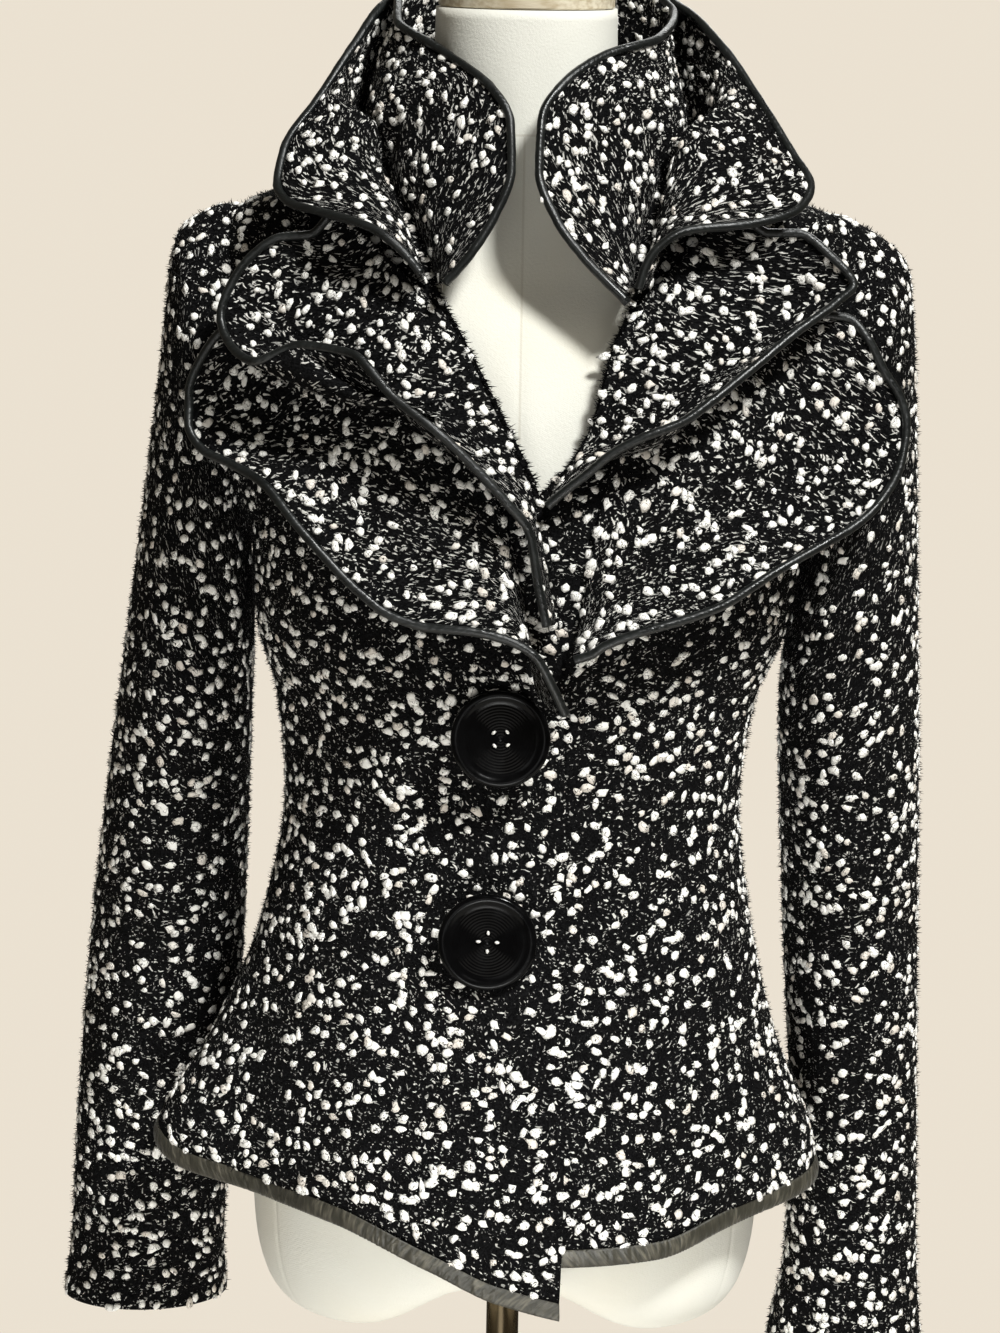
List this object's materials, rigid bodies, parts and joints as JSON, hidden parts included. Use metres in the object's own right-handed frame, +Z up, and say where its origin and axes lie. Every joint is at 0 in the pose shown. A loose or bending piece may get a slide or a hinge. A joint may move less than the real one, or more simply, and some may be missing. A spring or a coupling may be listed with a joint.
{
  "type": "boucle blazer on a dress form",
  "caption": "Fitted black and cream boucle blazer with piped, tiered collar and lapels and large buttons, hanging on a limbless cream dress form on a pole stand.",
  "frame": {"origin": "centre of the underside of the stand base, on the floor", "axes": "+Z up along the pole, the front of the blazer faces -Y, the wearer's left is +X"},
  "size_m": [0.491, 0.35, 1.5255],
  "materials": {
    "boucle": "black boucle with cream nubs",
    "satin": "dark charcoal satin binding",
    "button": "polished black with turned rings",
    "form cover": "fine cream knit",
    "cap wood": "satin varnish",
    "pole steel": "polished",
    "base paint": "satin black"
  },
  "bodies": {
    "root": {"front_right": "boucle", "front_left": "boucle", "back": "boucle", "sleeve_right": "boucle", "sleeve_left": "boucle", "collar_inner": "boucle", "collar_outer": "boucle", "lapel_upper_right": "boucle", "lapel_upper_left": "boucle", "lapel_lower_right": "boucle", "lapel_lower_left": "boucle", "piping_collar_inner": "satin", "piping_collar_outer": "satin", "piping_upper_right": "satin", "piping_upper_left": "satin", "piping_lower_right": "satin", "piping_lower_left": "satin", "hem_right": "satin", "hem_left": "satin", "hem_back": "satin", "button_upper": "button", "button_lower": "button", "form_torso": "form cover", "form_cap": "cap wood", "stand_pole": "pole steel", "stand_base": "base paint"}
  },
  "joints": []
}
